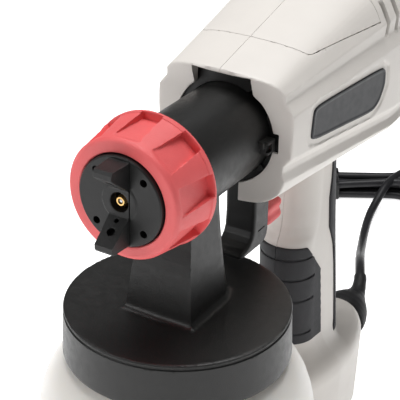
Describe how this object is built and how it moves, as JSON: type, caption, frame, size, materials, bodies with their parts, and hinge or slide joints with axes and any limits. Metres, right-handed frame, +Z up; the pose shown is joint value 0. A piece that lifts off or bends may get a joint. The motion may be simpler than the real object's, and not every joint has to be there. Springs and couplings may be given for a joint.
{
  "type": "paint sprayer",
  "caption": "Hand-held electric paint spray gun with paint cup, trigger, flow knob, air cap, motor housing and mains lead.",
  "frame": {"origin": "centre of the paint cup's flat base, on the surface the gun stands on", "axes": "+Z up; the nozzle points to -Y and the handle and lead are towards +Y; +X is the side with the barrel's lug"},
  "size_m": [0.2411, 0.5759, 0.285],
  "materials": {
    "shell": "fine satin moulded plastic, warm light grey",
    "badge": "satin grey plate, bare",
    "grip_rubber": "soft moulded rubber",
    "black_plastic": "fine textured moulded plastic",
    "red_plastic": "satin moulded plastic, pinkish red",
    "inner_plastic": "plain moulded plastic",
    "natural_plastic": "natural nylon",
    "cup_plastic": "translucent white polyethylene",
    "black_rubber": "moulded rubber",
    "gasket_rubber": "soft rubber",
    "valve_rubber": "silicone",
    "lead_sheath": "smooth flexible sheath",
    "brass": "turned",
    "copper": "enamelled copper",
    "steel": "ground steel",
    "lamination": "stacked sheet steel",
    "carbon": "pressed carbon",
    "foam": "open-cell foam"
  },
  "bodies": {
    "housing": {"housing_left": "shell", "housing_right": "shell", "top_cover": "shell", "badge_left": "badge", "badge_right": "badge", "grip_left": "grip_rubber", "grip_right": "grip_rubber", "grip_back": "grip_rubber", "bayonet_ring": "black_plastic", "air_duct": "inner_plastic", "duct_seal": "black_rubber", "fan_housing": "inner_plastic", "motor_frame": "steel", "stator_core": "lamination", "field_coils": "copper", "brush_holders": "brass", "carbon_brushes": "carbon", "front_bearing": "steel", "rear_bearing": "steel", "front_mount_ring": "black_rubber", "rear_mount_ring": "black_rubber", "filter_foam": "foam", "filter_grille": "black_plastic", "switch_body": "inner_plastic", "trigger_pin": "steel", "trigger_spring": "steel", "housing_screws": "steel", "foot_pads": "black_rubber", "inner_lead": "lead_sheath", "cord_clamp": "inner_plastic", "cord_boot": "black_rubber", "cord_lead": "lead_sheath", "cord_hank": "lead_sheath", "cord_tie": "black_plastic", "cord_tail": "lead_sheath", "plug_body": "black_rubber", "plug_pins": "steel"},
    "rotor": {"motor_shaft": "steel", "armature": "lamination", "commutator": "copper", "impeller": "natural_plastic", "impeller_nut": "steel"},
    "trigger": {"trigger": "black_plastic", "flow_stud": "steel"},
    "knob": {"flow_knob": "red_plastic"},
    "switch_button": {"switch_button": "red_plastic"},
    "spray_head": {"spray_head": "black_plastic", "fluid_body": "inner_plastic", "needle_gland": "brass", "fluid_nozzle": "brass", "air_guide": "inner_plastic", "lid_gasket": "gasket_rubber", "vent_valve": "valve_rubber", "needle_spring": "steel"},
    "needle": {"needle": "steel"},
    "union_nut": {"union_nut": "red_plastic"},
    "air_cap": {"air_cap": "black_plastic"},
    "cup": {"paint_cup": "cup_plastic"},
    "suction_tube": {"suction_tube": "natural_plastic"},
    "rear_cover": {"rear_cover": "black_plastic"}
  },
  "joints": [
    {"name": "head_twist", "type": "hinge", "parent": "housing", "child": "spray_head", "pos_m": [0, 0.05, 0.225], "axis": [0, 1, 0], "range_deg": [0, 45]},
    {"name": "trigger_pull", "type": "hinge", "parent": "housing", "child": "trigger", "pos_m": [0, 0.064, 0.25], "axis": [1, 0, 0], "range_deg": [0, 8], "stiffness_Nm_per_rad": 3, "springref_deg": -5.73},
    {"name": "needle_slide", "type": "slide", "parent": "spray_head", "child": "needle", "axis": [0, 1, 0], "range_m": [0, 0.0036], "deforming": ["needle_spring"]},
    {"name": "switch_press", "type": "slide", "parent": "housing", "child": "switch_button", "axis": [0, 1, 0], "range_m": [0, 0.0064]},
    {"name": "knob_turn", "type": "hinge", "parent": "trigger", "child": "knob", "pos_m": [0, 0.081, 0.1645], "axis": [0, 1, 0], "range_deg": [0, 720]},
    {"name": "nut_turn", "type": "hinge", "parent": "spray_head", "child": "union_nut", "pos_m": [0, -0.03, 0.225], "axis": [0, -1, 0], "range_deg": [0, 540]},
    {"name": "air_cap_turn", "type": "hinge", "parent": "spray_head", "child": "air_cap", "pos_m": [0, -0.045, 0.225], "axis": [0, -1, 0], "range_deg": [0, 90]},
    {"name": "cup_turn", "type": "hinge", "parent": "spray_head", "child": "cup", "pos_m": [0, 0, 0.06], "axis": [0, 0, -1], "range_deg": [0, 300]},
    {"name": "tube_swivel", "type": "hinge", "parent": "spray_head", "child": "suction_tube", "pos_m": [0, 0, 0.12], "axis": [0, 0, 1], "range_deg": [0, 180]},
    {"name": "rotor_spin", "type": "hinge", "parent": "housing", "child": "rotor", "pos_m": [0, 0.14, 0.238], "axis": [0, 1, 0], "continuous": true},
    {"name": "cover_twist", "type": "hinge", "parent": "housing", "child": "rear_cover", "pos_m": [0, 0.205, 0.238], "axis": [0, 1, 0], "range_deg": [0, 25]}
  ],
  "couplings": [
    {"joint": "needle_slide", "follows": "trigger_pull", "m_per_rad": 0.025},
    {"joint": "switch_press", "follows": "trigger_pull", "m_per_rad": 0.045}
  ]
}
